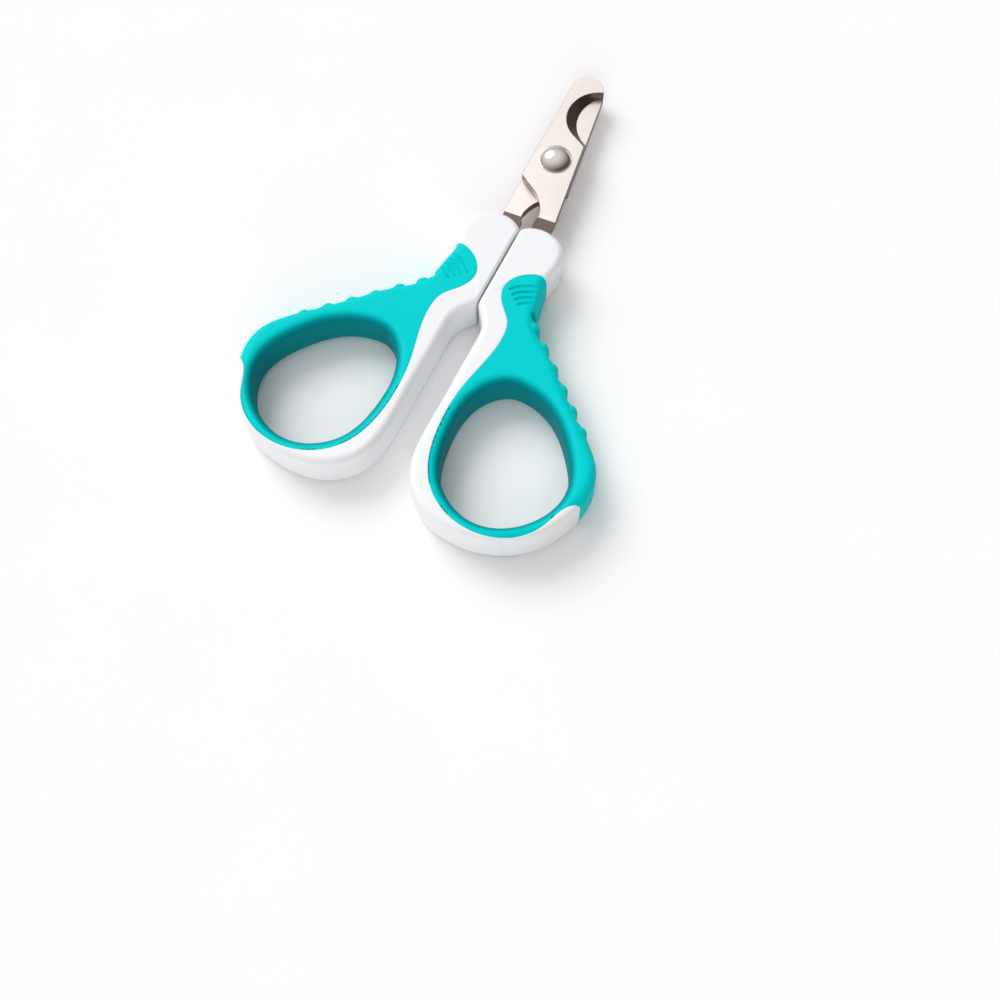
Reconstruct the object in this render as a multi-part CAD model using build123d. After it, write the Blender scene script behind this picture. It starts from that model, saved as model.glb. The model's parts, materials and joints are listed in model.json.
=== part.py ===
from build123d import *

# Scissor nail clipper for cats and small dogs.
#
# Two flat steel blades, each with a half-round nail notch, cross on one domed
# rivet. Each blade's tang is moulded into a hard plastic handle, and a soft
# grip is moulded over the handle's outer side and all round its finger hole.
#
# Drawing frame: X = 0 is the plane where the closed handles meet, Y = 0 is
# level with the rivet, the tips point to +Y, and the blades slide on each
# other at Z = 0. At the end every piece moves together, so that the origin is
# under the middle of the closed clipper.

import os
from math import cos, radians, sin, tan

# ---- blades, drawn with the rivet at X = 0 and the front blade's edge on +X ----
BLADE_THICKNESS = 1.5
FACE_GAP = 0.04  # running gap between the two blades
TIP_REACH = 20.0  # rivet to the tip
TIP_HALF_WIDTH = 3.1  # where the tip's round begins
TIP_ROUND_START = 17.0  # rivet to that place
RIVET_HALF_WIDTH = 4.15  # level with the rivet
HEEL_DROP = 5.4  # rivet down to the corner of the heel
CROTCH_DROP = 12.8  # rivet down to where the heel has narrowed to the shank
CROTCH_INSET = 1.65  # centre line to the inner side of the shank at that place
SHANK_INSET = 1.15  # the same at the shoulder
BLADE_LEAN = 4.1  # degrees that the closed blades lean to -X
RIVET_X = -1.35

# ---- nail notch ----
EDGE_RADIUS = 6.8  # of the cutting edge
EDGE_FLOOR = 0.2  # X of the cutting edge at its deepest
EDGE_HEIGHT = 12.0  # rivet up to that place
BEVEL_RADIUS = 6.2  # of the ground bevel where it meets the outer face
BEVEL_RUN = 2.0  # how far the bevel runs back across the blade
BEVEL_SHIFT = 0.5  # how much nearer the rivet the bevel's deepest place is
RUN_OUT_ANGLE = 32.0  # degrees that the notch's lower end slopes towards the rivet

# ---- tang ----
TANG_THICKNESS = 0.8
SHOULDER_DROP = 12.0  # rivet down to where the shank starts to thin
SHOULDER_RUN = 2.0
TANG_LENGTH = 14.0  # below the shoulder
TANG_TAPER = 0.9  # how much narrower each side is at the tang's end
TANG_HOLE_RADIUS = 0.55  # the handle's plastic flows through these
TANG_HOLES = 2
TANG_HOLE_PITCH = 5.0
FIRST_TANG_HOLE = 4.0  # below the shoulder

# ---- rivet ----
SHANK_RADIUS = 1.5
SHANK_CLEARANCE = 0.04
HEAD_RADIUS = 2.95
HEAD_HEIGHT = 1.7
HEAD_RIM = 0.25  # straight edge under the dome
TAIL_RADIUS = 2.3
TAIL_HEIGHT = 0.7
TAIL_FLAT = 1.7  # radius of the tail's flat end

# ---- handle ----
HANDLE_THICKNESS = 8.0
SEAM_GAP = 0.4  # between the closed handles
BOLSTER_DROP = 16.5  # rivet down to the handle's highest place
BOLSTER_WIDTH = 9.4  # seam to the outer side of the bolster
BOLSTER_BELLY = 5.9  # highest place down to where the bolster is widest
BOLSTER_FALL = 1.2  # the end face's fall at the seam
NECK_WIDTH = 8.9  # seam to the outer side where the grip begins
NECK_DROP = 25.7  # rivet down to that place
NECK_LENGTH = 4.0  # from there down to the lower end of the neck
NECK_FLARE = 0.6  # how much wider it is there
SEAM_DROP = 35.2  # rivet down to where the handles part
ARM_INSET = 2.9  # seam to the inner side of the handle below that
HOLE_WIDTH = 22.0
HOLE_HEIGHT = 25.7
HOLE_DROP = 59.05  # rivet down to the middle of the finger hole
SIDE_RIM = 3.8  # handle left beside the finger hole
END_RIM = 2.9  # handle left below the finger hole
RIB_LINE_WIDTH = 10.3  # seam to the upper end of the ribbed side
RIB_LINE_DROP = 33.7  # rivet down to that end
HARD_EDGE = 1.2  # round on the hard plastic's edges
SEAM_EDGE = 0.5  # smaller round beside the seam

# ---- soft grip ----
SOFT_EDGE = 1.8  # round on the grip's outer edges
HOLE_EDGE = 1.85  # round on the finger hole's edges
SKIN = 1.1  # depth of the soft layer over the handle's core
STRIP = 1.9  # width of the soft strip round the finger hole
PAD_INSET = 2.75  # seam to the nearest place of the thumb pad
PAD_DROP = 30.0
WAIST_INSET = 6.95  # seam to the grip where it is narrow
WAIST_DROP = 38.8
GRIP_END_DROP = 62.0  # rivet down to where the grip ends on the outer side
RIBS = 6
RIB_PITCH = 4.3
RIB_RADIUS = 1.5
RIB_PROUD = 0.55
RIB_LENGTH = 7.3
FIRST_RIB = 1.1  # along the rib line from its start
SCOOP_RADIUS = 0.85  # hollows just above the ribs
SCOOP_DEPTH = 0.75
SCOOP_LENGTH = 7.4
GROOVES = 4
GROOVE_PITCH = 1.15
GROOVE_RADIUS = 0.33
GROOVE_TURN = 50.0  # degrees of arc in each groove
LAST_GROOVE_BEND = 3.9  # bend radius of the groove nearest the ring
GROOVE_CENTRE_WIDTH = 9.5  # seam to the grooves' common centre
GROOVE_CENTRE_DROP = 35.1

# Finger hole, as shares of its half width and half height
HOLE_SHAPE = [
    (-0.37, 1.00),
    (0.20, 0.86),
    (0.70, 0.45),
    (1.00, -0.11),
    (0.80, -0.62),
    (-0.03, -1.00),
    (-0.74, -0.69),
    (-1.00, 0.00),
    (-0.86, 0.72),
]

# Outside of the ring, from its inner side round under it to its outer side, as
# shares of half the ring's width and height
RING_SHAPE = [
    (-1.00, 0.30),
    (-1.00, -0.25),
    (-0.89, -0.66),
    (-0.62, -0.90),
    (-0.18, -1.00),
    (0.28, -0.93),
    (0.66, -0.71),
    (0.92, -0.33),
    (1.00, 0.00),
    (0.945, 0.257),
    (0.77, 0.48),
]

# Inner side where the closed handles part: share of the arm's inset across, mm
# below the seam's lower end
PARTING_SHAPE = [(0.45, 1.4), (0.90, 3.6), (1.00, 7.0)]

# Corner and highest place of the bolster: share of its width across, share of
# its belly down
BOLSTER_SHAPE = [(0.92, 0.34), (0.60, 0.0)]

# The soft grip's edge on the hard handle, as mm to the right of and above an
# anchor: the neck's outer side, the thumb pad's inmost place, then the waist
NECK_EDGE = [(0.6, -0.3), (-1.1, 0.3)]
PAD_TOP = [(3.0, 4.0), (1.2, 2.6), (0.0, 0.0), (1.7, -4.0)]
WAIST_EDGE = [(-0.6, 2.5), (0.0, 0.0)]
WAIST_TO_STRIP = (0.5, 0.37)  # mm off the strip, share of the hole's height above its middle
GRIP_END_CORNER = (1.7, 0.8)  # mm inward and down from the grip's end

# Inner side of the shank up to the heel's corner, as shares across and up
CROTCH_SHAPE = [(0.04, 0.15), (0.18, 0.405), (0.39, 0.615), (0.71, 0.815), (1.0, 1.0)]

HALF = HANDLE_THICKNESS / 2
SEAM = SEAM_GAP / 2
HOLE_X = ARM_INSET + SIDE_RIM + HOLE_WIDTH / 2
THIN_DROP = SHOULDER_DROP + SHOULDER_RUN
TANG_END_DROP = THIN_DROP + TANG_LENGTH


def hole_point(shape, growth=0.0):
    """A place on the finger hole's outline, moved outward by growth."""
    return Vector(
        HOLE_X + shape[0] * (HOLE_WIDTH / 2 + growth),
        -HOLE_DROP + shape[1] * (HOLE_HEIGHT / 2 + growth),
    )


def ring_point(shape):
    """A place on the outside of the ring."""
    return Vector(
        HOLE_X + shape[0] * (HOLE_WIDTH / 2 + SIDE_RIM),
        -HOLE_DROP + shape[1] * (HOLE_HEIGHT / 2 + END_RIM),
    )


def hole_face(growth=0.0):
    return make_face(Spline(*[hole_point(s, growth) for s in HOLE_SHAPE], periodic=True))


def rib_line():
    """The straight run of the grip's outer side, from the ring up to the neck."""
    return Line(ring_point(RING_SHAPE[-1]), (RIB_LINE_WIDTH, -RIB_LINE_DROP))


def outline_points():
    """The right handle's outline, from the seam's lower end round to its upper end."""
    seam_low = Vector(SEAM, -SEAM_DROP)
    seam_high = Vector(SEAM, -BOLSTER_DROP - BOLSTER_FALL)
    parting = [Vector(x * ARM_INSET, -SEAM_DROP - down) for x, down in PARTING_SHAPE]
    ring = [ring_point(s) for s in RING_SHAPE]
    ribs = [rib_line() @ t for t in (0.25, 0.5, 0.75, 1.0)]
    neck = [
        Vector(NECK_WIDTH + NECK_FLARE, -NECK_DROP - NECK_LENGTH),
        Vector(NECK_WIDTH, -NECK_DROP),
        Vector(BOLSTER_WIDTH, -BOLSTER_DROP - BOLSTER_BELLY),
    ]
    bolster = [
        Vector(x * BOLSTER_WIDTH, -BOLSTER_DROP - down * BOLSTER_BELLY)
        for x, down in BOLSTER_SHAPE
    ]
    return [seam_low, *parting, *ring, *ribs, *neck, *bolster, seam_high]


def handle_face(inset=0.0):
    """The right handle's outline as a face, moved inward by inset."""
    points = outline_points()
    edge = Spline(*points)
    if inset:
        places = [edge.param_at_point(p) for p in points]
        sides = [edge.tangent_at(t).rotate(Axis.Z, 90) for t in places]
        inner = [p + side * inset for p, side in zip(points, sides)]
        seam_low = Vector(SEAM + inset, points[0].Y + inset / 2)
        seam_high = Vector(SEAM + inset, points[-1].Y - inset)
        edge = Spline(seam_low, *inner[1:-1], seam_high)
    return make_face(Wire([edge, Line(edge @ 1, edge @ 0)]))


def grip_face():
    """The area that the soft grip covers, carried on past the handle's outer side."""
    outer_x = HOLE_X + HOLE_WIDTH / 2 + SIDE_RIM
    far_x = outer_x + HANDLE_THICKNESS
    neck = [Vector(NECK_WIDTH + x, -NECK_DROP + y) for x, y in NECK_EDGE]
    pad = [Vector(PAD_INSET + x, -PAD_DROP + y) for x, y in PAD_TOP]
    waist = [Vector(WAIST_INSET + x, -WAIST_DROP + y) for x, y in WAIST_EDGE]
    off, share = WAIST_TO_STRIP
    meeting = Vector(HOLE_X - HOLE_WIDTH / 2 - STRIP + off, -HOLE_DROP + share * HOLE_HEIGHT)
    strip = [hole_point(s, STRIP) for s in reversed(HOLE_SHAPE[4:8])]
    corner = Vector(outer_x - GRIP_END_CORNER[0], -GRIP_END_DROP - GRIP_END_CORNER[1])
    end = Vector(outer_x, -GRIP_END_DROP)
    edge = Spline(*neck, *pad, *waist, meeting, *strip, corner, end)
    beyond = Polyline(end, (far_x, end.Y), (far_x, -NECK_DROP - NECK_LENGTH), neck[0])
    return make_face(Wire([edge, *beyond.edges()]))


def plate(face, half_height):
    """A face made into a plate, half above and half below the middle plane."""
    return extrude(face, half_height, both=True)


def rim_edges(solid):
    """The edges of a plate's two flat faces."""
    return [e for e in solid.edges() if abs(abs(e.center().Z) - HALF) < 1e-6]


def is_seam(edge):
    return edge.geom_type == GeomType.LINE


def on_rib_line(distance, depth):
    """A place that far down the rib line from the neck, sunk inward by depth."""
    line = rib_line()
    inward = line.tangent_at(1).rotate(Axis.Z, 90)
    return line.position_at(1 - distance / line.length) + inward * depth


def capsule(radius, length):
    """A rod across the handle's thickness, with round ends."""
    straight = length - 2 * radius
    return (
        Cylinder(radius, straight)
        + Pos(0, 0, straight / 2) * Sphere(radius)
        + Pos(0, 0, -straight / 2) * Sphere(radius)
    )


def with_ribs(grip):
    """The grip with its ribs, and a hollow above each rib."""
    for i in range(RIBS):
        along = FIRST_RIB + i * RIB_PITCH
        rib_place = on_rib_line(along, RIB_RADIUS - RIB_PROUD)
        scoop_place = on_rib_line(along - RIB_PITCH / 2, SCOOP_DEPTH - SCOOP_RADIUS)
        grip = grip + Pos(rib_place) * capsule(RIB_RADIUS, RIB_LENGTH)
        grip = grip - Pos(scoop_place) * capsule(SCOOP_RADIUS, SCOOP_LENGTH)
    return grip


def grooves():
    """Thumb grooves: arcs about one centre, sunk in both faces of the pad."""
    cuts = []
    for i in range(GROOVES):
        bend = LAST_GROOVE_BEND + i * GROOVE_PITCH
        for level in (HALF, -HALF):
            ring = Torus(bend, GROOVE_RADIUS, major_angle=GROOVE_TURN, align=None)
            place = Pos(GROOVE_CENTRE_WIDTH, -GROOVE_CENTRE_DROP, level)
            cuts.append(place * Rot(0, 0, 90) * ring)
    return cuts


def handle_and_grip():
    """Hard handle and soft grip of the right side, without the tang's place."""
    outline = handle_face()
    hard = plate(outline, HALF)
    hard = fillet([e for e in rim_edges(hard) if not is_seam(e)], HARD_EDGE)
    hard = fillet([e for e in rim_edges(hard) if is_seam(e)], SEAM_EDGE)
    soft = plate(outline, HALF)
    soft = fillet([e for e in rim_edges(soft) if not is_seam(e)], SOFT_EDGE)
    hole = plate(hole_face(), HALF)
    block = plate(Pos(HOLE_X, -HOLE_DROP) * Rectangle(4 * HOLE_WIDTH, 4 * HOLE_HEIGHT), HALF) - hole
    block = fillet([e for e in rim_edges(block) if e.is_closed], HOLE_EDGE)
    soft = soft & block
    soft = with_ribs(soft)
    for cut in grooves():
        soft = soft - cut
    covered = plate(grip_face(), HANDLE_THICKNESS)
    core = plate(handle_face(SKIN), HALF - SKIN) - plate(hole_face(SKIN), HALF)
    handle = hard - covered - hole + core
    grip = (soft & covered) - core
    return handle, grip


def half_width(y):
    """Half the blade's width at a height above the rivet."""
    return RIVET_HALF_WIDTH + (TIP_HALF_WIDTH - RIVET_HALF_WIDTH) * y / TIP_ROUND_START


def blade_face():
    """Outline of a blade and its tang, before the notch is cut."""
    tip_y = TIP_ROUND_START
    heel_x = -half_width(-HEEL_DROP)
    outer_x = half_width(-THIN_DROP)
    tip = ThreePointArc((-half_width(tip_y), tip_y), (0, TIP_REACH), (half_width(tip_y), tip_y))
    side = Polyline(
        tip @ 1,
        (outer_x, -THIN_DROP),
        (outer_x - TANG_TAPER, -TANG_END_DROP),
        (SHANK_INSET + TANG_TAPER, -TANG_END_DROP),
        (SHANK_INSET, -THIN_DROP),
        (CROTCH_INSET, -CROTCH_DROP),
    )
    rise = CROTCH_DROP - HEEL_DROP
    run = heel_x - CROTCH_INSET
    curve = [(CROTCH_INSET + x * run, -CROTCH_DROP + y * rise) for x, y in CROTCH_SHAPE]
    crotch = Spline(side @ 1, *curve)
    return make_face(Wire([tip, *side.edges(), crotch, Line(crotch @ 1, tip @ 0)]))


def notch_section(centre, radius, level):
    """The notch at one level: an arc, run out straight at its lower end."""
    turn = 90.0 + RUN_OUT_ANGLE
    low = Vector(centre.X + radius * cos(radians(-turn)), centre.Y + radius * sin(radians(-turn)))
    out_x = centre.X + radius
    out = Vector(out_x, low.Y - (out_x - low.X) * tan(radians(RUN_OUT_ANGLE)))
    arc = CenterArc((centre.X, centre.Y), radius, 90.0, 270.0 - turn)
    top = Vector(out_x, centre.Y + radius)
    wire = Wire([Line(top, arc @ 0), arc, Line(arc @ 1, out), Line(out, top)])
    return Pos(0, 0, level) * make_face(wire)


def notch():
    """The tapered tool that cuts the nail notch and its ground bevel."""
    edge_centre = Vector(EDGE_FLOOR + EDGE_RADIUS, EDGE_HEIGHT)
    bevel_x = EDGE_FLOOR - BEVEL_RUN + BEVEL_RADIUS
    bevel_centre = Vector(bevel_x, EDGE_HEIGHT - BEVEL_SHIFT)
    low = notch_section(edge_centre, EDGE_RADIUS, 0.0)
    high = notch_section(bevel_centre, BEVEL_RADIUS, BLADE_THICKNESS)
    return loft([low, high], ruled=True)


def tang_relief():
    """What is taken off both faces, so that the shank thins to the tang."""
    cut = (BLADE_THICKNESS - TANG_THICKNESS) / 2
    beyond_y = -TANG_END_DROP - TANG_TAPER
    top = BLADE_THICKNESS
    upper = Polyline(
        (-SHOULDER_DROP, top),
        (-THIN_DROP, top - cut),
        (beyond_y, top - cut),
        (beyond_y, top + cut),
        (-SHOULDER_DROP, top + cut),
        close=True,
    )
    wedge = extrude(Plane.YZ * make_face(upper), 2 * RIVET_HALF_WIDTH, both=True)
    return wedge, Pos(0, 0, top) * mirror(wedge, Plane.XY)


def blade(bore_radius):
    """A blade with its inner face at Z = 0 and the rivet's bore at the origin."""
    solid = extrude(blade_face(), BLADE_THICKNESS) - notch()
    for cut in tang_relief():
        solid = solid - cut
    solid = solid - Cylinder(bore_radius, 4 * BLADE_THICKNESS)
    hole_x = (half_width(-THIN_DROP) + SHANK_INSET) / 2
    for i in range(TANG_HOLES):
        y = -THIN_DROP - FIRST_TANG_HOLE - i * TANG_HOLE_PITCH
        solid = solid - Pos(hole_x, y, 0) * Cylinder(TANG_HOLE_RADIUS, 4 * BLADE_THICKNESS)
    return solid


def rivet():
    """Rivet with a domed head above and a low formed tail below."""
    face_z = FACE_GAP / 2 + BLADE_THICKNESS
    seat_z = face_z + FACE_GAP
    tail_z = -face_z - TAIL_HEIGHT
    dome_rise = HEAD_HEIGHT - HEAD_RIM
    dome_radius = (HEAD_RADIUS**2 + dome_rise**2) / (2 * dome_rise)
    crown_z = seat_z + HEAD_HEIGHT
    half_x = HEAD_RADIUS / 2
    half_z = crown_z - dome_radius + (dome_radius**2 - half_x**2) ** 0.5
    dome = ThreePointArc((HEAD_RADIUS, seat_z + HEAD_RIM), (half_x, half_z), (0, crown_z))
    rest = Polyline(
        (0, crown_z),
        (0, tail_z),
        (TAIL_FLAT, tail_z),
        (TAIL_RADIUS, -face_z - TAIL_HEIGHT / 2),
        (TAIL_RADIUS, -face_z),
        (SHANK_RADIUS, -face_z),
        (SHANK_RADIUS, seat_z),
        (HEAD_RADIUS, seat_z),
        (HEAD_RADIUS, seat_z + HEAD_RIM),
    )
    profile = Plane.XZ * make_face(Wire([dome, *rest.edges()]))
    return revolve(profile, Axis.Z)


def build():
    """Every piece of the closed clipper, by name."""
    at_rivet = Pos(RIVET_X, 0, 0) * Rot(0, 0, BLADE_LEAN)
    lift = Pos(0, 0, FACE_GAP / 2)
    front_blade = at_rivet * lift * blade(SHANK_RADIUS + SHANK_CLEARANCE)
    rear_blade = at_rivet * Rot(0, 180, 0) * lift * blade(SHANK_RADIUS)
    handle, grip = handle_and_grip()
    pieces = {
        "front_blade": front_blade,
        "rear_blade": rear_blade,
        "pivot_rivet": at_rivet * rivet(),
        "right_handle": handle - front_blade,
        "left_handle": mirror(handle, Plane.YZ) - rear_blade,
        "right_grip": grip,
        "left_grip": mirror(grip, Plane.YZ),
    }
    box = Compound(children=[p.solid() for p in pieces.values()]).bounding_box()
    middle = box.center()
    to_origin = Pos(-middle.X, -middle.Y, -box.min.Z)
    return {name: to_origin * piece for name, piece in pieces.items()}


os.makedirs("parts", exist_ok=True)
for piece_name, piece in build().items():
    piece.label = piece_name
    export_step(piece, f"parts/{piece_name}.step")
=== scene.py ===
import json
from math import cos, radians, sin

import bmesh
import bpy
from bpy.props import FloatProperty, FloatVectorProperty, PointerProperty
from mathutils import Matrix, Vector
from mathutils.bvhtree import BVHTree


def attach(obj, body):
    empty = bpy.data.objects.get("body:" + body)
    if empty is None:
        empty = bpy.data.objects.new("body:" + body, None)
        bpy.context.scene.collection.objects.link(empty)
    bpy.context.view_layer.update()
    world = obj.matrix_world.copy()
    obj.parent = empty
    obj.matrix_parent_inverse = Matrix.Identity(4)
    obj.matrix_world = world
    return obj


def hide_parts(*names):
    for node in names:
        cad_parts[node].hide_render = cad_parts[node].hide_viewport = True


bl_info = {
    "name": "Pet nail clipper",
    "version": (1, 0, 0),
    "blender": (4, 5, 0),
    "location": "View3D > Sidebar > Nail clipper",
    "description": "Finishes a small scissor nail clipper: blades, rivet, handles, soft grips and a studio",
    "category": "Object",
}

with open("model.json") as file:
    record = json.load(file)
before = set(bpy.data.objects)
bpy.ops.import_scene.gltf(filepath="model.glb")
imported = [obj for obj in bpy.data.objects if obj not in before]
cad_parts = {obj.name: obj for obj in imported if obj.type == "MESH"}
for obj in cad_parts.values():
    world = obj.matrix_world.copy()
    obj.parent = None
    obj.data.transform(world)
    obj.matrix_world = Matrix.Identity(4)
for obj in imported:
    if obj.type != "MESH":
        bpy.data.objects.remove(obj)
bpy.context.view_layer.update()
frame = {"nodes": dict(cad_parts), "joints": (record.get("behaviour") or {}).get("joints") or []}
NODES = frame["nodes"]
PIVOT = Vector(frame["joints"][0]["pos_m"])
MM = 0.001
BLADE_LEAN = radians(4.1)
# POLISH_END also marks where the painted dark reflection on a blade's shank begins.
POLISH_END = 13.0 * MM  # rivet down to where a blade's polish ends on its shoulder
HALF_OF = {
    "front_blade": "right_half",
    "right_handle": "right_half",
    "right_grip": "right_half",
    "rear_blade": "left_half",
    "left_handle": "left_half",
    "left_grip": "left_half",
}
HOLE_MIDDLE = Vector((17.7, -31.6, 0.0)) * MM  # of the right finger hole
HOLE_REACH = 15.5 * MM  # from its middle, just past its wall
WELD = 0.001 * MM
FLAT_ANGLE = radians(0.2)
SHARP_ANGLE = radians(35.0)
RIDGE_ANGLE = radians(4.0)  # the edge of a blade's flat or shoulder stays crisp above this
LYING = 0.93  # height of a face's normal on the blades' flats and shoulders


SMUDGE_SCALE = 140.0
FLOOR_DROP = 0.05 * MM  # keeps the floor clear of the faces that rest on it
FLOOR_ROUGHNESS = 0.9

# name, direction from the clipper, spread in degrees, strength, tone, mirrored in polished parts
LIGHTS = [
    ("key_light", (-0.34, 0.16, 0.36), 38.0, 1.60, (1.0, 0.985, 0.97), True),
    ("fill_light", (0.16, -0.46, 0.22), 42.0, 1.12, (0.97, 0.98, 1.0), False),
]
SKY_TILT = (-0.45, 0.25, 1.0)  # the sky's brightness follows a direction's share of this one
SKY_SEEN = (0.97, 0.97, 0.97, 1.0)
SKY_LOW = (0.12, (0.11, 0.075, 0.06, 1.0))
SKY_HIGH = (0.95, (0.80, 0.80, 0.82, 1.0))
CLIP_START = 0.01


# ---- sizes and colours that a user would change ----


def size(name, description, default):
    """A length in metres, shown in the user's units."""
    return FloatProperty(name=name, description=description, default=default, unit="LENGTH", min=0.0)


def colour(name, description, default):
    """A linear colour."""
    return FloatVectorProperty(
        name=name, description=description, default=default, subtype="COLOR", size=3, min=0.0, max=1.0
    )


class BladeSettings(bpy.types.PropertyGroup):
    """Finish of the two blades."""

    steel: colour("Steel", "Colour of the lapped faces", (0.84, 0.775, 0.725))
    # Partly the duller ground finish, partly painted dark reflection: far darker than real steel.
    ground_steel_painted_dark: colour("Ground steel, painted dark", "Ground and forged faces, darkened as painted dark reflection", (0.16, 0.12, 0.105))
    edge_break: size("Edge break", "Width of the small bevel on every sharp edge", 0.06 * MM)


class RivetSettings(bpy.types.PropertyGroup):
    """Finish of the pivot rivet."""

    steel: colour("Polished steel", "Colour of the rivet", (0.86, 0.80, 0.75))


class HandleSettings(bpy.types.PropertyGroup):
    """Finish of the hard plastic handles."""

    plastic: colour("Plastic", "Colour of the hard plastic", (0.86, 0.885, 0.90))
    edge_break: size("Edge break", "Width of the bevel where the soft grip begins", 0.07 * MM)


class GripSettings(bpy.types.PropertyGroup):
    """Finish of the soft grips."""

    # Painted shade: a darker teal for the finger holes' walls, standing in for the shade inside the holes.
    hole_wall_shade: colour("Painted hole shade", "Painted shade on the finger holes' walls", (0.0, 0.24, 0.27))
    rubber: colour("Rubber", "Colour of the soft grip", (0.0, 0.63, 0.63))
    edge_break: size("Edge break", "Width of the bevel where the grip meets the handle", 0.07 * MM)


class StageSettings(bpy.types.PropertyGroup):
    """Floor, lights and camera."""

    floor_tone: colour("Floor", "Colour of the floor", (0.96, 0.96, 0.96))
    floor_reach: size("Floor reach", "Half the floor's width", 3.0)
    lens: FloatProperty(name="Lens", description="Focal length in millimetres", default=50.0, min=1.0)
    stand: FloatVectorProperty(
        name="Stand", description="Where the camera stands", default=(0.06075, -0.12043, 0.21408),
        subtype="TRANSLATION", unit="LENGTH", size=3,
    )
    aim: FloatVectorProperty(
        name="Aim", description="Where the camera looks", default=(0.019107, -0.037984, 0.004),
        subtype="TRANSLATION", unit="LENGTH", size=3,
    )
    roll: FloatProperty(
        name="Roll", description="Turn of the camera about its own axis", default=radians(-0.94),
        subtype="ANGLE", unit="ROTATION",
    )


# ---- shader node groups ----


def add_node(tree, kind, values=None, **settings):
    """A node with its settings, and with values on its unlinked inputs."""
    made = tree.nodes.new(kind)
    for key, value in settings.items():
        setattr(made, key, value)
    for key, value in (values or {}).items():
        made.inputs[key].default_value = value
    return made


def new_group(name, inputs, outputs):
    """An empty node group with number, vector or colour sockets."""
    tree = bpy.data.node_groups.new(name, "ShaderNodeTree")
    for label, kind, default in inputs:
        socket = tree.interface.new_socket(label, in_out="INPUT", socket_type="NodeSocket" + kind)
        if default is not None:
            socket.default_value = default
    for label, kind in outputs:
        tree.interface.new_socket(label, in_out="OUTPUT", socket_type="NodeSocket" + kind)
    return tree, tree.nodes.new("NodeGroupInput"), tree.nodes.new("NodeGroupOutput")


def fine_grain_group():
    """Two sizes of moulded or blasted grain, as a height and a slow mottle."""
    inputs = [("Vector", "Vector", None), ("Scale", "Float", 1000.0), ("Depth", "Float", 1.0)]
    tree, given, out = new_group("fine_grain", inputs, [("Height", "Float"), ("Mottle", "Float")])
    fine = add_node(tree, "ShaderNodeTexNoise", {"Detail": 3.0, "Roughness": 0.55})
    slow_scale = add_node(tree, "ShaderNodeMath", {1: 0.04}, operation="MULTIPLY")
    slow = add_node(tree, "ShaderNodeTexNoise", {"Detail": 2.0, "Roughness": 0.5})
    height = add_node(tree, "ShaderNodeMath", operation="MULTIPLY")
    link = tree.links.new
    link(given.outputs["Vector"], fine.inputs["Vector"])
    link(given.outputs["Scale"], fine.inputs["Scale"])
    link(given.outputs["Scale"], slow_scale.inputs[0])
    link(given.outputs["Vector"], slow.inputs["Vector"])
    link(slow_scale.outputs[0], slow.inputs["Scale"])
    link(fine.outputs["Fac"], height.inputs[0])
    link(given.outputs["Depth"], height.inputs[1])
    link(height.outputs[0], out.inputs["Height"])
    link(slow.outputs["Fac"], out.inputs["Mottle"])
    return tree


def worn_edges_group():
    """A mask that is 1 on convex edges, from the angle to a rounded normal."""
    inputs = [("Radius", "Float", 0.0003), ("Gain", "Float", 4.0)]
    tree, given, out = new_group("worn_edges", inputs, [("Mask", "Float")])
    rounded = add_node(tree, "ShaderNodeBevel", samples=4)
    surface = add_node(tree, "ShaderNodeNewGeometry")
    match = add_node(tree, "ShaderNodeVectorMath", operation="DOT_PRODUCT")
    lost = add_node(tree, "ShaderNodeMath", {0: 1.0}, operation="SUBTRACT")
    gain = add_node(tree, "ShaderNodeMath", operation="MULTIPLY", use_clamp=True)
    link = tree.links.new
    link(given.outputs["Radius"], rounded.inputs["Radius"])
    link(rounded.outputs["Normal"], match.inputs[0])
    link(surface.outputs["Normal"], match.inputs[1])
    link(match.outputs["Value"], lost.inputs[1])
    link(lost.outputs[0], gain.inputs[0])
    link(given.outputs["Gain"], gain.inputs[1])
    link(gain.outputs[0], out.inputs["Mask"])
    return tree


def handling_marks_group():
    """Faint smudges from fingers, as a number around 0 to add to a roughness."""
    inputs = [("Vector", "Vector", None), ("Amount", "Float", 0.05)]
    tree, given, out = new_group("handling_marks", inputs, [("Change", "Float")])
    smudge = add_node(tree, "ShaderNodeTexNoise", {"Scale": SMUDGE_SCALE, "Detail": 4.0, "Distortion": 0.8})
    centred = add_node(tree, "ShaderNodeMath", {1: 0.5}, operation="SUBTRACT")
    change = add_node(tree, "ShaderNodeMath", operation="MULTIPLY")
    link = tree.links.new
    link(given.outputs["Vector"], smudge.inputs["Vector"])
    link(smudge.outputs["Fac"], centred.inputs[0])
    link(centred.outputs[0], change.inputs[0])
    link(given.outputs["Amount"], change.inputs[1])
    link(change.outputs[0], out.inputs["Change"])
    return tree


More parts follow.
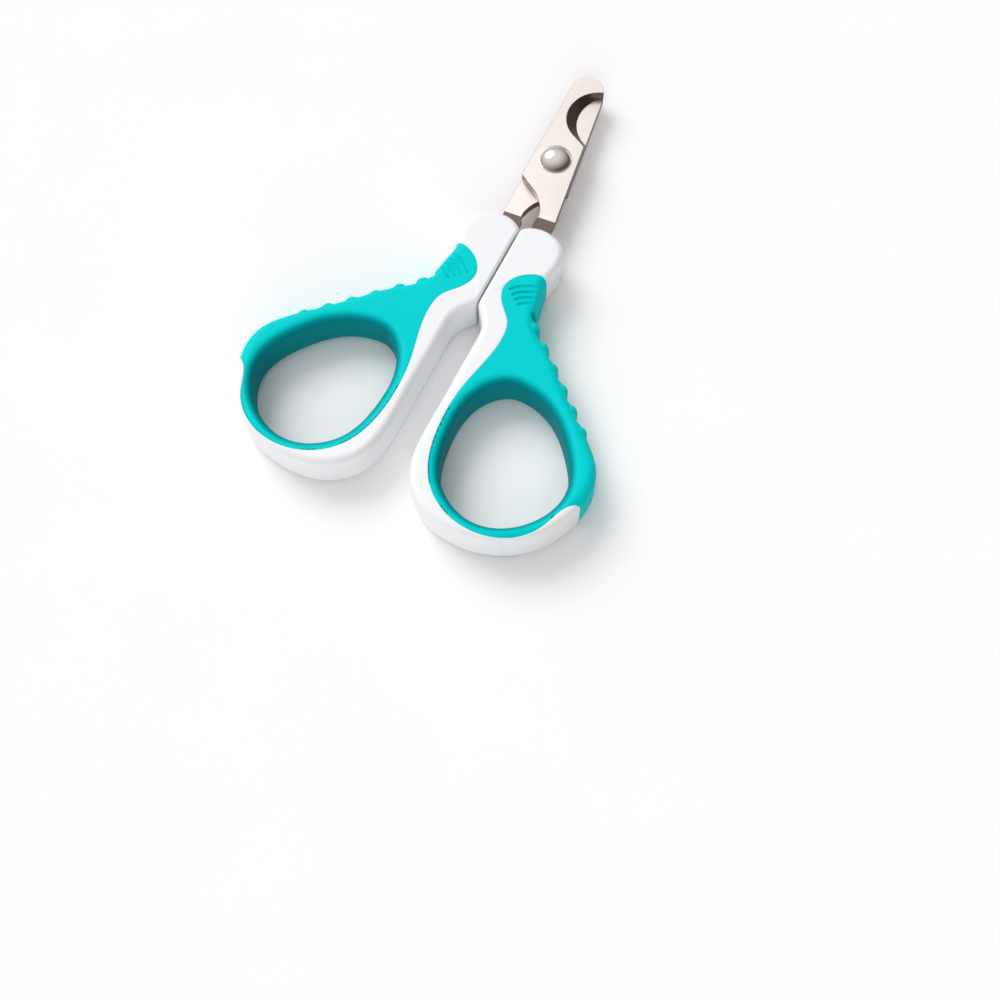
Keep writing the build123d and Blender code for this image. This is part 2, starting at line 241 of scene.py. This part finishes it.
class Finish:
    """A material being put together around one Principled shader."""

    def __init__(self, name):
        self.material = bpy.data.materials.new(name)
        self.material.use_nodes = True
        self.tree = self.material.node_tree
        self.shader = self.tree.nodes["Principled BSDF"]
        self.place = self.node("ShaderNodeTexCoord").outputs["Object"]

    def node(self, kind, values=None, **settings):
        return add_node(self.tree, kind, values, **settings)

    def group(self, name, values=None):
        made = self.tree.nodes.new("ShaderNodeGroup")
        made.node_tree = bpy.data.node_groups[name]
        for key, value in (values or {}).items():
            made.inputs[key].default_value = value
        if "Vector" in made.inputs:
            self.link(self.place, made.inputs["Vector"])
        return made

    def link(self, source, target):
        self.tree.links.new(source, target)

    def set(self, **values):
        """Constant numbers on the shader's own sockets."""
        for key, value in values.items():
            self.shader.inputs[key.replace("_", " ")].default_value = value

    def mix(self, factor, first, second):
        """A colour between first and second; each is a colour or a socket."""
        made = self.node("ShaderNodeMix", data_type="RGBA")
        self.link(factor, made.inputs["Factor"])
        for socket, value in ((made.inputs["A"], first), (made.inputs["B"], second)):
            self.feed(value, socket)
        return made.outputs["Result"]

    def feed(self, value, socket):
        if isinstance(value, bpy.types.NodeSocket):
            self.link(value, socket)
        elif isinstance(value, float):
            socket.default_value = value
        else:
            socket.default_value = (*value, 1.0)

    def math(self, operation, first, second, clamp=False):
        made = self.node("ShaderNodeMath", operation=operation, use_clamp=clamp)
        self.feed(first, made.inputs[0])
        self.feed(second, made.inputs[1])
        return made.outputs[0]

    def span(self, value, low, high):
        """Value mapped smoothly so that low gives 0 and high gives 1."""
        made = self.node("ShaderNodeMapRange", {"From Min": low, "From Max": high})
        made.interpolation_type = "SMOOTHSTEP"
        self.link(value, made.inputs["Value"])
        return made.outputs["Result"]

    def bump(self, height, strength, distance):
        made = self.node("ShaderNodeBump", {"Strength": strength, "Distance": distance})
        self.link(height, made.inputs["Height"])
        self.link(made.outputs["Normal"], self.shader.inputs["Normal"])


def tint(colour_value, factor):
    """A colour made lighter or darker."""
    return tuple(min(1.0, c * factor) for c in colour_value)


def blade_steel(settings):
    """Polished stainless faces; the ground notches, shanks and side walls are a duller ground finish painted
    near-black as a stand-in for dark reflections.
    """
    finish = Finish("blade_steel")
    lean = finish.node("ShaderNodeMapping", {"Location": tuple(-PIVOT)})
    turn = finish.node("ShaderNodeMapping", {"Rotation": (0.0, 0.0, -BLADE_LEAN), "Scale": (9.0, 0.22, 9.0)})
    lines = finish.node("ShaderNodeTexNoise", {"Scale": 900.0, "Detail": 3.0})
    finish.link(finish.place, lean.inputs["Vector"])
    finish.link(lean.outputs["Vector"], turn.inputs["Vector"])
    finish.link(turn.outputs["Vector"], lines.inputs["Vector"])
    facing = finish.node("ShaderNodeSeparateXYZ")
    finish.link(finish.node("ShaderNodeTexCoord").outputs["Normal"], facing.inputs["Vector"])
    lying = finish.span(finish.math("ABSOLUTE", facing.outputs["Z"], 0.0), 0.96, 0.98)
    tipward = tuple(Vector((-sin(BLADE_LEAN), cos(BLADE_LEAN), 0.0)))
    along = finish.node("ShaderNodeVectorMath", {1: tipward}, operation="DOT_PRODUCT")
    finish.link(lean.outputs["Vector"], along.inputs[0])
    polished = finish.math("GREATER_THAN", along.outputs["Value"], -POLISH_END)
    # Faces that don't lie flat, and the shank past POLISH_END, get the ground steel: partly a duller ground
    # finish, partly painted dark reflection.
    flat = finish.math("MULTIPLY", lying, polished)
    wear = finish.group("worn_edges", {"Radius": 0.0002, "Gain": 0.7}).outputs["Mask"]
    lapped = finish.mix(lines.outputs["Fac"], tint(settings.steel, 0.95), tint(settings.steel, 1.04))
    dull_and_painted_dark = settings.ground_steel_painted_dark
    ground = finish.mix(lines.outputs["Fac"], tint(dull_and_painted_dark, 0.8), tint(dull_and_painted_dark, 1.3))
    body = finish.mix(flat, ground, lapped)
    finish.link(finish.mix(wear, body, tint(settings.steel, 0.9)), finish.shader.inputs["Base Color"])
    marks = finish.group("handling_marks", {"Amount": 0.10}).outputs["Change"]
    rough = finish.math("ADD", finish.math("MULTIPLY", lines.outputs["Fac"], 0.12), 0.27)
    finish.link(finish.math("ADD", rough, marks), finish.shader.inputs["Roughness"])
    finish.bump(lines.outputs["Fac"], 0.25, 0.00001)
    finish.set(Metallic=1.0)
    return finish.material


def rivet_steel(settings):
    """Mirror-polished steel with faint polishing swirls."""
    finish = Finish("rivet_steel")
    centre = finish.node("ShaderNodeMapping", {"Location": tuple(-PIVOT)})
    swirl = finish.node(
        "ShaderNodeTexWave", {"Scale": 900.0, "Distortion": 2.5, "Detail": 2.0, "Detail Scale": 3.0},
        wave_type="RINGS", rings_direction="Z",
    )
    finish.link(finish.place, centre.inputs["Vector"])
    finish.link(centre.outputs["Vector"], swirl.inputs["Vector"])
    wear = finish.group("worn_edges", {"Radius": 0.0002, "Gain": 2.0}).outputs["Mask"]
    body = finish.mix(swirl.outputs["Fac"], tint(settings.steel, 0.96), tint(settings.steel, 1.03))
    finish.link(finish.mix(wear, body, tint(settings.steel, 0.8)), finish.shader.inputs["Base Color"])
    marks = finish.group("handling_marks", {"Amount": 0.06}).outputs["Change"]
    finish.link(finish.math("ADD", marks, 0.17, clamp=True), finish.shader.inputs["Roughness"])
    finish.bump(swirl.outputs["Fac"], 0.04, 0.000004)
    finish.set(Metallic=1.0)
    return finish.material


def hard_plastic(settings):
    """White moulded plastic with a soft gloss."""
    finish = Finish("hard_plastic")
    grain = finish.group("fine_grain", {"Scale": 2600.0, "Depth": 1.0})
    marks = finish.group("handling_marks", {"Amount": 0.12}).outputs["Change"]
    wear = finish.group("worn_edges", {"Radius": 0.0004, "Gain": 1.2}).outputs["Mask"]
    body = finish.mix(grain.outputs["Mottle"], tint(settings.plastic, 0.985), tint(settings.plastic, 1.01))
    finish.link(finish.mix(wear, body, tint(settings.plastic, 1.05)), finish.shader.inputs["Base Color"])
    finish.link(finish.math("ADD", marks, 0.36), finish.shader.inputs["Roughness"])
    finish.bump(grain.outputs["Height"], 0.12, 0.00002)
    finish.set(Subsurface_Weight=0.12, Subsurface_Scale=0.002, IOR=1.49)
    finish.set(Coat_Weight=0.12, Coat_Roughness=0.18)
    return finish.material


def painted_hole_shade_mask(finish):
    """A mask of painted shade that is 1 on the walls of both finger holes, which face the hole's middle."""
    facing = finish.node("ShaderNodeTexCoord").outputs["Normal"]
    side = finish.node("ShaderNodeSeparateXYZ")
    finish.link(finish.place, side.inputs["Vector"])
    flip = finish.node("ShaderNodeCombineXYZ", {"Y": 1.0})
    finish.link(finish.math("SIGN", side.outputs["X"], 0.0), flip.inputs["X"])
    middle = finish.node("ShaderNodeVectorMath", {1: tuple(HOLE_MIDDLE)}, operation="MULTIPLY")
    finish.link(flip.outputs["Vector"], middle.inputs[0])
    inward = finish.node("ShaderNodeVectorMath", operation="SUBTRACT")
    finish.link(middle.outputs["Vector"], inward.inputs[0])
    finish.link(finish.place, inward.inputs[1])
    level = finish.node("ShaderNodeVectorMath", {1: (1.0, 1.0, 0.0)}, operation="MULTIPLY")
    finish.link(inward.outputs["Vector"], level.inputs[0])
    unit = finish.node("ShaderNodeVectorMath", operation="NORMALIZE")
    finish.link(level.outputs["Vector"], unit.inputs[0])
    match = finish.node("ShaderNodeVectorMath", operation="DOT_PRODUCT")
    finish.link(unit.outputs["Vector"], match.inputs[0])
    finish.link(facing, match.inputs[1])
    away = finish.node("ShaderNodeVectorMath", operation="LENGTH")
    finish.link(level.outputs["Vector"], away.inputs[0])
    near = finish.math("LESS_THAN", away.outputs["Value"], HOLE_REACH)
    return finish.math("MULTIPLY", finish.span(match.outputs["Value"], 0.15, 0.95), near)


def soft_rubber(settings):
    """Teal soft-touch rubber, matt and faintly stippled, with painted shade on the finger holes' walls."""
    finish = Finish("soft_rubber")
    grain = finish.group("fine_grain", {"Scale": 4200.0, "Depth": 1.0})
    marks = finish.group("handling_marks", {"Amount": 0.10}).outputs["Change"]
    wear = finish.group("worn_edges", {"Radius": 0.0005, "Gain": 1.0}).outputs["Mask"]
    body = finish.mix(grain.outputs["Mottle"], tint(settings.rubber, 0.95), tint(settings.rubber, 1.04))
    worn = finish.mix(wear, body, tint(settings.rubber, 1.15))
    # Painted shade: the finger holes' walls take the darker hole-shade colour instead of the rubber.
    finish.link(finish.mix(painted_hole_shade_mask(finish), worn, settings.hole_wall_shade), finish.shader.inputs["Base Color"])
    finish.link(finish.math("ADD", marks, 0.56), finish.shader.inputs["Roughness"])
    finish.bump(grain.outputs["Height"], 0.30, 0.00003)
    finish.set(IOR=1.45, Specular_IOR_Level=0.06)
    return finish.material


# ---- pieces ----


def coat(piece, material):
    """Gives a piece one material."""
    piece.data.materials.clear()
    piece.data.materials.append(material)


def finished_copy(node, edge_break, material, flat_sided=False):
    """A CAD piece's shape, merged, with a small bevel on every sharp edge, in its place."""
    shape = bmesh.new()
    shape.from_mesh(NODES[node].data)
    bmesh.ops.remove_doubles(shape, verts=shape.verts, dist=WELD)
    if flat_sided:
        bmesh.ops.dissolve_limit(shape, angle_limit=FLAT_ANGLE, verts=shape.verts, edges=shape.edges)
    surface = BVHTree.FromBMesh(shape)
    sharp = [e for e in shape.edges if e.is_manifold and e.calc_face_angle(0.0) > SHARP_ANGLE]
    bmesh.ops.bevel(
        shape, geom=sharp, offset=edge_break, offset_type="OFFSET", segments=2, profile=0.5,
        affect="EDGES", material=-1, clamp_overlap=False,
    )
    for vert in shape.verts:  # a bevel can throw a corner off the piece
        nearest, _, _, away = surface.find_nearest(vert.co)
        if away > edge_break:
            vert.co = nearest
    for face in shape.faces:
        face.smooth = True
    if flat_sided:
        shape.normal_update()
        for edge in shape.edges:
            lying = any(abs(face.normal.z) > LYING for face in edge.link_faces)
            edge.smooth = not (lying and edge.calc_face_angle(0.0) > RIDGE_ANGLE)
    mesh = bpy.data.meshes.new("finished_" + node)
    shape.to_mesh(mesh)
    shape.free()
    piece = bpy.data.objects.new("finished_" + node, mesh)
    bpy.context.collection.objects.link(piece)
    evened = piece.modifiers.new("even_shading", "WEIGHTED_NORMAL")
    evened.weight = 100
    evened.keep_sharp = True
    coat(piece, material)
    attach(piece, HALF_OF[node])
    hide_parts(node)


class CLIPPER_OT_blades(bpy.types.Operator):
    """Finish both blades"""

    bl_idname = "clipper.blades"
    bl_label = "Blades"

    def execute(self, context):
        settings = context.scene.clipper_blades
        steel = blade_steel(settings)
        for node in ("front_blade", "rear_blade"):
            finished_copy(node, settings.edge_break, steel, flat_sided=True)
        return {"FINISHED"}


class CLIPPER_OT_rivet(bpy.types.Operator):
    """Finish the pivot rivet"""

    bl_idname = "clipper.rivet"
    bl_label = "Rivet"

    def execute(self, context):
        coat(NODES["pivot_rivet"], rivet_steel(context.scene.clipper_rivet))
        return {"FINISHED"}


class CLIPPER_OT_handles(bpy.types.Operator):
    """Finish both hard handles"""

    bl_idname = "clipper.handles"
    bl_label = "Handles"

    def execute(self, context):
        settings = context.scene.clipper_handles
        plastic = hard_plastic(settings)
        for node in ("right_handle", "left_handle"):
            finished_copy(node, settings.edge_break, plastic)
        return {"FINISHED"}


class CLIPPER_OT_grips(bpy.types.Operator):
    """Finish both soft grips"""

    bl_idname = "clipper.grips"
    bl_label = "Soft grips"

    def execute(self, context):
        settings = context.scene.clipper_grips
        rubber = soft_rubber(settings)
        for node in ("right_grip", "left_grip"):
            finished_copy(node, settings.edge_break, rubber)
        return {"FINISHED"}


# ---- stage ----


def floor_finish(tone):
    """Pale matt paper."""
    finish = Finish("pale_paper")
    grain = finish.group("fine_grain", {"Scale": 900.0, "Depth": 1.0})
    body = finish.mix(grain.outputs["Mottle"], tint(tone, 0.99), tint(tone, 1.01))
    finish.link(body, finish.shader.inputs["Base Color"])
    finish.bump(grain.outputs["Height"], 0.05, 0.00005)
    finish.set(Roughness=FLOOR_ROUGHNESS)
    return finish.material


def lay_floor(settings):
    """A plain floor just under the clipper."""
    mesh = bpy.data.meshes.new("floor")
    shape = bmesh.new()
    bmesh.ops.create_grid(shape, x_segments=1, y_segments=1, size=settings.floor_reach)
    bmesh.ops.translate(shape, verts=shape.verts, vec=(0.0, 0.0, -FLOOR_DROP))
    shape.to_mesh(mesh)
    shape.free()
    floor = bpy.data.objects.new("floor", mesh)
    bpy.context.collection.objects.link(floor)
    coat(floor, floor_finish(settings.floor_tone))


def hang_light(name, place, spread, strength, tone, mirrored):
    """A broad soft light from far off in the direction of place, mirrored in polished parts or not."""
    data = bpy.data.lights.new(name, "SUN")
    data.angle = radians(spread)
    data.energy = strength
    data.color = tone
    light = bpy.data.objects.new(name, data)
    light.location = place
    light.rotation_euler = (-Vector(place)).to_track_quat("-Z", "Y").to_euler()
    light.visible_glossy = mirrored
    bpy.context.collection.objects.link(light)


def hang_sky():
    """Soft light from above and the left that falls to a warm dark low on the right."""
    world = bpy.data.worlds.new("studio")
    bpy.context.scene.world = world
    world.use_nodes = True
    tree = world.node_tree
    sky = tree.nodes["Background"]
    direction = add_node(tree, "ShaderNodeTexCoord")
    height = add_node(tree, "ShaderNodeVectorMath", {1: SKY_TILT}, operation="DOT_PRODUCT")
    ramp = add_node(tree, "ShaderNodeValToRGB")
    seen = add_node(tree, "ShaderNodeLightPath")
    pick = add_node(tree, "ShaderNodeMix", {"B": SKY_SEEN}, data_type="RGBA")
    for stop, (position, shade) in zip(ramp.color_ramp.elements, (SKY_LOW, SKY_HIGH)):
        stop.position = position
        stop.color = shade
    link = tree.links.new
    link(direction.outputs["Generated"], height.inputs[0])
    link(height.outputs["Value"], ramp.inputs["Fac"])
    link(ramp.outputs["Color"], pick.inputs["A"])
    link(seen.outputs["Is Camera Ray"], pick.inputs["Factor"])
    link(pick.outputs["Result"], sky.inputs["Color"])
    sky.inputs["Strength"].default_value = 1.0


class CLIPPER_OT_stage(bpy.types.Operator):
    """Lay the floor, hang the lights and set up the camera"""

    bl_idname = "clipper.stage"
    bl_label = "Stage"

    def execute(self, context):
        settings = context.scene.clipper_stage
        lay_floor(settings)
        hang_sky()
        for light in LIGHTS:
            hang_light(*light)
        stand = Vector(settings.stand)
        aim = Vector(settings.aim)
        data = bpy.data.cameras.new("camera")
        data.lens = settings.lens
        data.clip_start = CLIP_START
        camera = bpy.data.objects.new("camera", data)
        camera.rotation_mode = "QUATERNION"
        turn = (aim - stand).to_track_quat("-Z", "Y")
        camera.rotation_quaternion = turn @ Matrix.Rotation(settings.roll, 4, "Z").to_quaternion()
        camera.location = stand
        context.collection.objects.link(camera)
        context.scene.camera = camera
        context.scene.view_settings.view_transform = "Standard"
        return {"FINISHED"}


class CLIPPER_PT_panel(bpy.types.Panel):
    """Buttons and settings of the nail clipper"""

    bl_label = "Nail clipper"
    bl_idname = "CLIPPER_PT_panel"
    bl_space_type = "VIEW_3D"
    bl_region_type = "UI"
    bl_category = "Nail clipper"

    def draw(self, context):
        for operator, group in PIECES:
            box = self.layout.box()
            box.operator(operator.bl_idname)
            settings = getattr(context.scene, group)
            for key in settings.__annotations__:
                box.prop(settings, key)


PIECES = [
    (CLIPPER_OT_blades, "clipper_blades"),
    (CLIPPER_OT_rivet, "clipper_rivet"),
    (CLIPPER_OT_handles, "clipper_handles"),
    (CLIPPER_OT_grips, "clipper_grips"),
    (CLIPPER_OT_stage, "clipper_stage"),
]
SETTINGS = {
    "clipper_blades": BladeSettings,
    "clipper_rivet": RivetSettings,
    "clipper_handles": HandleSettings,
    "clipper_grips": GripSettings,
    "clipper_stage": StageSettings,
}


def register():
    for group in SETTINGS.values():
        bpy.utils.register_class(group)
    for operator, _ in PIECES:
        bpy.utils.register_class(operator)
    bpy.utils.register_class(CLIPPER_PT_panel)
    for key, group in SETTINGS.items():
        setattr(bpy.types.Scene, key, PointerProperty(type=group))


def unregister():
    for key in SETTINGS:
        delattr(bpy.types.Scene, key)
    bpy.utils.unregister_class(CLIPPER_PT_panel)
    for operator, _ in reversed(PIECES):
        bpy.utils.unregister_class(operator)
    for group in reversed(SETTINGS.values()):
        bpy.utils.unregister_class(group)


def main():
    register()
    fine_grain_group()
    worn_edges_group()
    handling_marks_group()
    bpy.ops.clipper.blades()
    bpy.ops.clipper.rivet()
    bpy.ops.clipper.handles()
    bpy.ops.clipper.grips()
    bpy.ops.clipper.stage()


if __name__ == "__main__":
    main()
